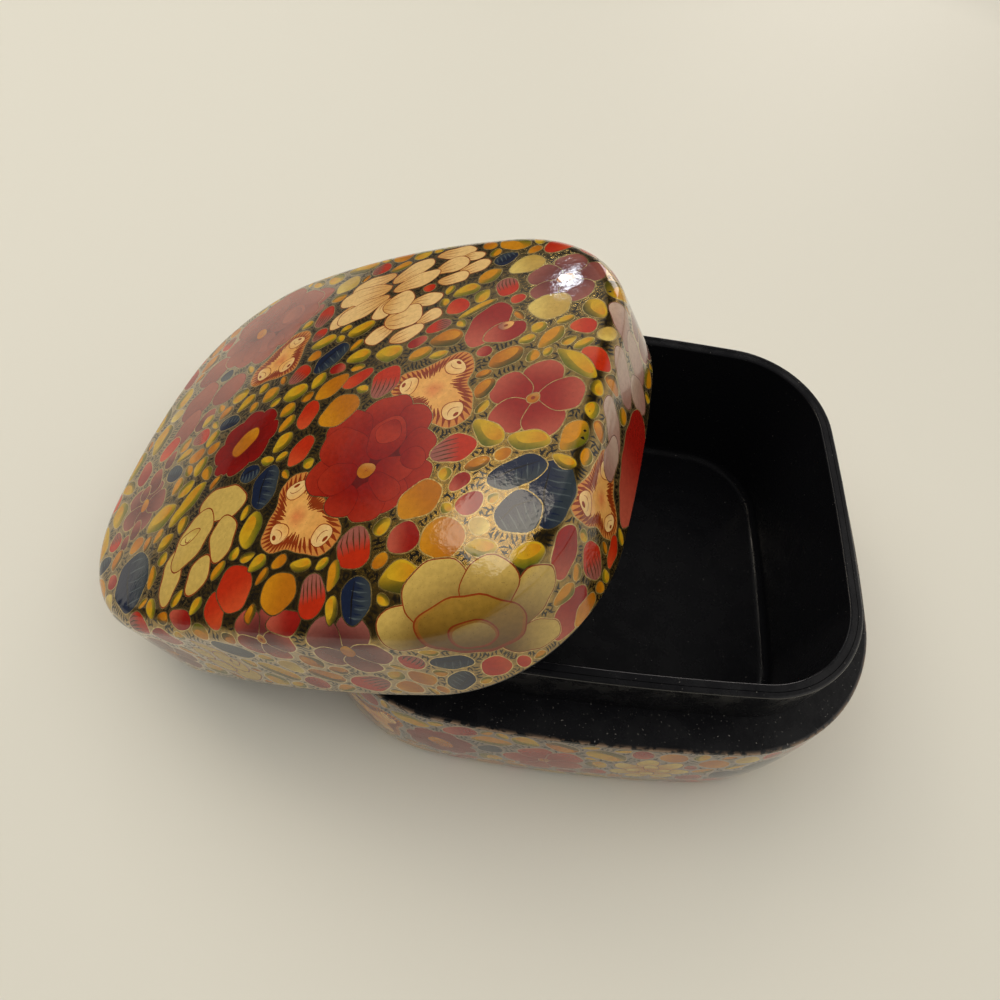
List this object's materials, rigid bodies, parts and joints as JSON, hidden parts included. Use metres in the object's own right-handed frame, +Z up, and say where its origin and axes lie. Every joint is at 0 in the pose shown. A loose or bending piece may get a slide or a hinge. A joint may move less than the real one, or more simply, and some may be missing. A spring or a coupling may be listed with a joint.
{
  "type": "trinket box",
  "caption": "Rounded oblong lacquered paper box: a coved inner bowl whose collar stands above a flat ledge, and a crowned lift-off lid lying tilted across one end.",
  "frame": {"origin": "middle of the base's flat underside", "axes": "+Z up; X along the box's long side; the lid lies over the -X end"},
  "size_m": [0.1422, 0.0921, 0.0639],
  "materials": {
    "painted_lacquer": "flower painting under gloss lacquer, on moulded paper",
    "black_lacquer": "worn gloss black lacquer, on moulded paper"
  },
  "bodies": {
    "base": {"base_shell": "painted_lacquer", "inner_bowl": "black_lacquer", "collar_band": "black_lacquer"},
    "lid": {"lid_shell": "painted_lacquer"}
  },
  "joints": [
    {"name": "lid_lift", "type": "slide", "parent": "base", "child": "lid", "axis": [0, 0, 1], "range_m": [0, 0.06]}
  ]
}
